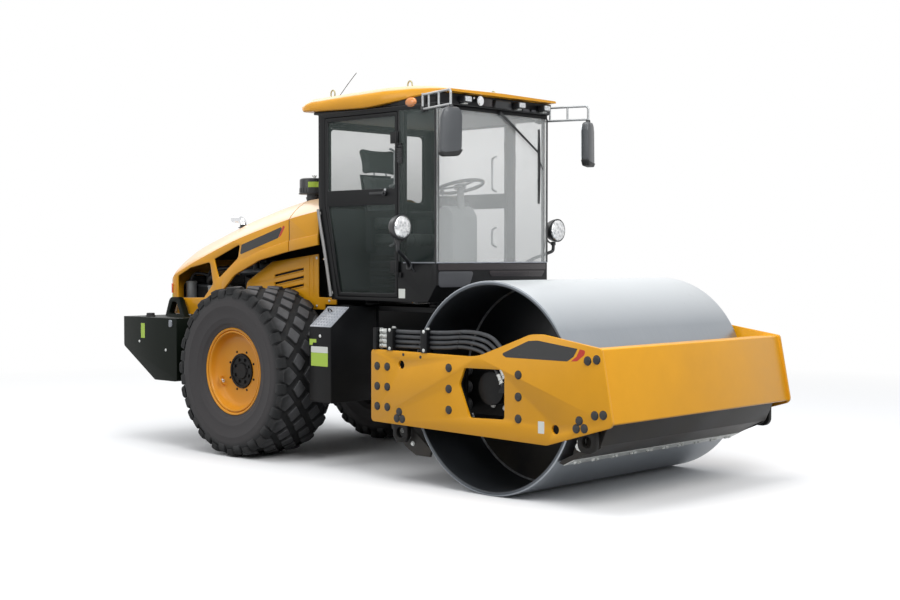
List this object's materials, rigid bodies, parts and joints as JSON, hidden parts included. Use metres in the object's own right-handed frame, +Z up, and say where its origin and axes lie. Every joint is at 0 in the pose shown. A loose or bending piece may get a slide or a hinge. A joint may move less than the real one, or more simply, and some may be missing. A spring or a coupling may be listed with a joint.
{
  "type": "single-drum road roller",
  "caption": "Articulated vibratory road roller with a smooth steel drum in a front frame, tractor tyres, an enclosed cab and a tilting engine hood.",
  "frame": {"origin": "middle of the machine's length and width, on the ground", "axes": "+X runs forward to the drum, +Y to the machine's left, +Z up"},
  "size_m": [5.7189, 2.29, 3.2432],
  "materials": {
    "yellow": "semi-gloss",
    "black": "satin",
    "steel": "rolled bright",
    "iron": "bare",
    "chrome": "polished",
    "glass": "tinted",
    "tyre": "matt",
    "rubber": "matt",
    "plastic": "grained",
    "fabric": "woven"
  },
  "bodies": {
    "rear_frame": {"chassis": "black", "rear_box": "black", "rear_axle": "black", "engine": "iron", "step_boxes": "black", "cab_frame": "black", "cab_floor": "black", "cab_glass": "glass", "cab_roof": "yellow", "roof_fascia": "black", "seat_base": "plastic", "seat_cushions": "fabric", "console": "plastic", "hood_fixed": "yellow", "side_panels": "yellow", "mirrors": "plastic", "headlamps": "plastic", "work_lamps": "plastic", "roof_fittings": "black", "wiper": "plastic"},
    "hood": {"hood": "yellow", "exhaust": "chrome", "pre_cleaner": "plastic"},
    "door_left": {"door_left": "black", "door_glass_left": "glass"},
    "door_right": {"door_right": "black", "door_glass_right": "glass"},
    "wheel_left": {"tyre_left": "tyre", "rim_left": "yellow"},
    "wheel_right": {"tyre_right": "tyre", "rim_right": "yellow"},
    "hitch": {"hitch": "black"},
    "front_frame": {"side_plates": "yellow", "front_beam": "yellow", "tie_lugs": "black", "rear_crossbeam": "black", "drum_mounts": "black", "drum_buffers": "rubber", "scrapers": "black", "hoses": "rubber", "hose_clamps": "plastic"},
    "drum": {"drum_shell": "steel", "drum_heads": "steel"},
    "steering_barrel_left": {"steering_barrel_left": "black"},
    "steering_barrel_right": {"steering_barrel_right": "black"},
    "steering_rod_left": {"steering_rod_left": "chrome"},
    "steering_rod_right": {"steering_rod_right": "chrome"}
  },
  "joints": [
    {"name": "articulation", "type": "hinge", "parent": "rear_frame", "child": "hitch", "pos_m": [0.2755, 0, 0.72], "axis": [0, 0, 1], "range_deg": [-33, 33]},
    {"name": "oscillation", "type": "hinge", "parent": "hitch", "child": "front_frame", "pos_m": [0.2755, 0, 0.72], "axis": [1, 0, 0], "range_deg": [-10, 10]},
    {"name": "drum_spin", "type": "hinge", "parent": "front_frame", "child": "drum", "pos_m": [1.7255, 0, 0.765], "axis": [0, 1, 0], "continuous": true},
    {"name": "wheel_left_spin", "type": "hinge", "parent": "rear_frame", "child": "wheel_left", "pos_m": [-1.1845, 0.84, 0.725], "axis": [0, 1, 0], "continuous": true},
    {"name": "wheel_right_spin", "type": "hinge", "parent": "rear_frame", "child": "wheel_right", "pos_m": [-1.1845, -0.84, 0.725], "axis": [0, 1, 0], "continuous": true},
    {"name": "hood_tilt", "type": "hinge", "parent": "rear_frame", "child": "hood", "pos_m": [-2.6715, 0, 1.198], "axis": [0, -1, 0], "range_deg": [0, 60]},
    {"name": "door_left_swing", "type": "hinge", "parent": "rear_frame", "child": "door_left", "pos_m": [0.4115, 0.689, 2.1], "axis": [0, 0, -1], "range_deg": [0, 80]},
    {"name": "door_right_swing", "type": "hinge", "parent": "rear_frame", "child": "door_right", "pos_m": [0.4115, -0.689, 2.1], "axis": [0, 0, 1], "range_deg": [0, 80]},
    {"name": "barrel_left_swing", "type": "hinge", "parent": "rear_frame", "child": "steering_barrel_left", "pos_m": [-0.5145, 0.35, 0.72], "axis": [0, 0, 1], "range_deg": [-1, 1]},
    {"name": "barrel_right_swing", "type": "hinge", "parent": "rear_frame", "child": "steering_barrel_right", "pos_m": [-0.5145, -0.35, 0.72], "axis": [0, 0, 1], "range_deg": [-1, 1]},
    {"name": "rod_left_slide", "type": "slide", "parent": "steering_barrel_left", "child": "steering_rod_left", "axis": [1, 0, 0], "range_m": [-0.1902, 0.1902]},
    {"name": "rod_right_slide", "type": "slide", "parent": "steering_barrel_right", "child": "steering_rod_right", "axis": [1, 0, 0], "range_m": [-0.1902, 0.1902]}
  ],
  "couplings": [
    {"joint": "barrel_left_swing", "follows": "articulation", "ratio": -0.01},
    {"joint": "barrel_right_swing", "follows": "articulation", "ratio": -0.01},
    {"joint": "rod_left_slide", "follows": "articulation", "m_per_rad": -0.33},
    {"joint": "rod_right_slide", "follows": "articulation", "m_per_rad": 0.33}
  ]
}
